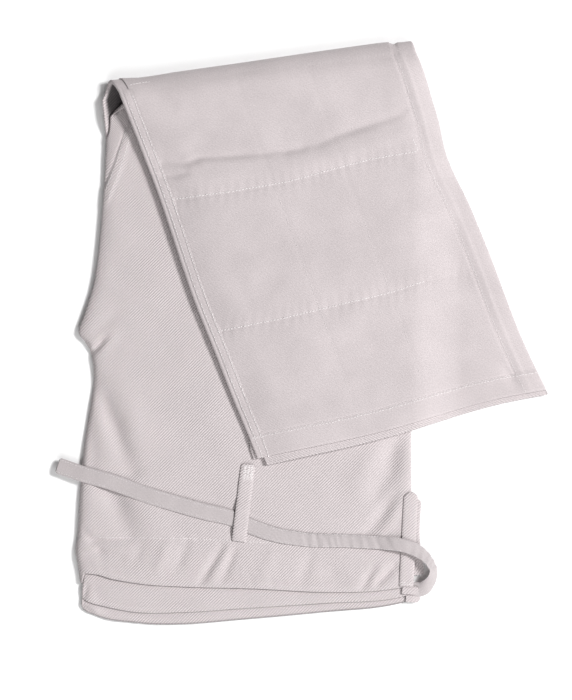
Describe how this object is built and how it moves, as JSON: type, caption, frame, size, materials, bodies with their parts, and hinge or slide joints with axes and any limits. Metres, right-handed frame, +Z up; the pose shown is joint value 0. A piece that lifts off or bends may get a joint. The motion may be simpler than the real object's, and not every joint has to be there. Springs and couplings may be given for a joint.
{
  "type": "folded judo trousers",
  "caption": "White cotton drill judo trousers pressed flat and folded over at the knee, with quilted knee patch, waist casing, belt loops and flat drawstring.",
  "frame": {"origin": "centre of the folded garment's outline, without its drawstring, on the surface it lies on", "axes": "+X from the centre seam towards the side seams, +Y from the waist towards the knee fold, +Z up from the surface"},
  "size_m": [0.4443, 0.5223, 0.0231],
  "materials": {
    "drill": "matte",
    "trim": "matte",
    "tape": "matte"
  },
  "bodies": {
    "root": {"front_left": "drill", "front_right": "drill", "hidden_layers": "drill", "back_right": "drill", "back_left": "drill", "knee_patch": "drill", "loop_front": "trim", "loop_side": "trim", "drawstring": "tape"}
  },
  "joints": []
}
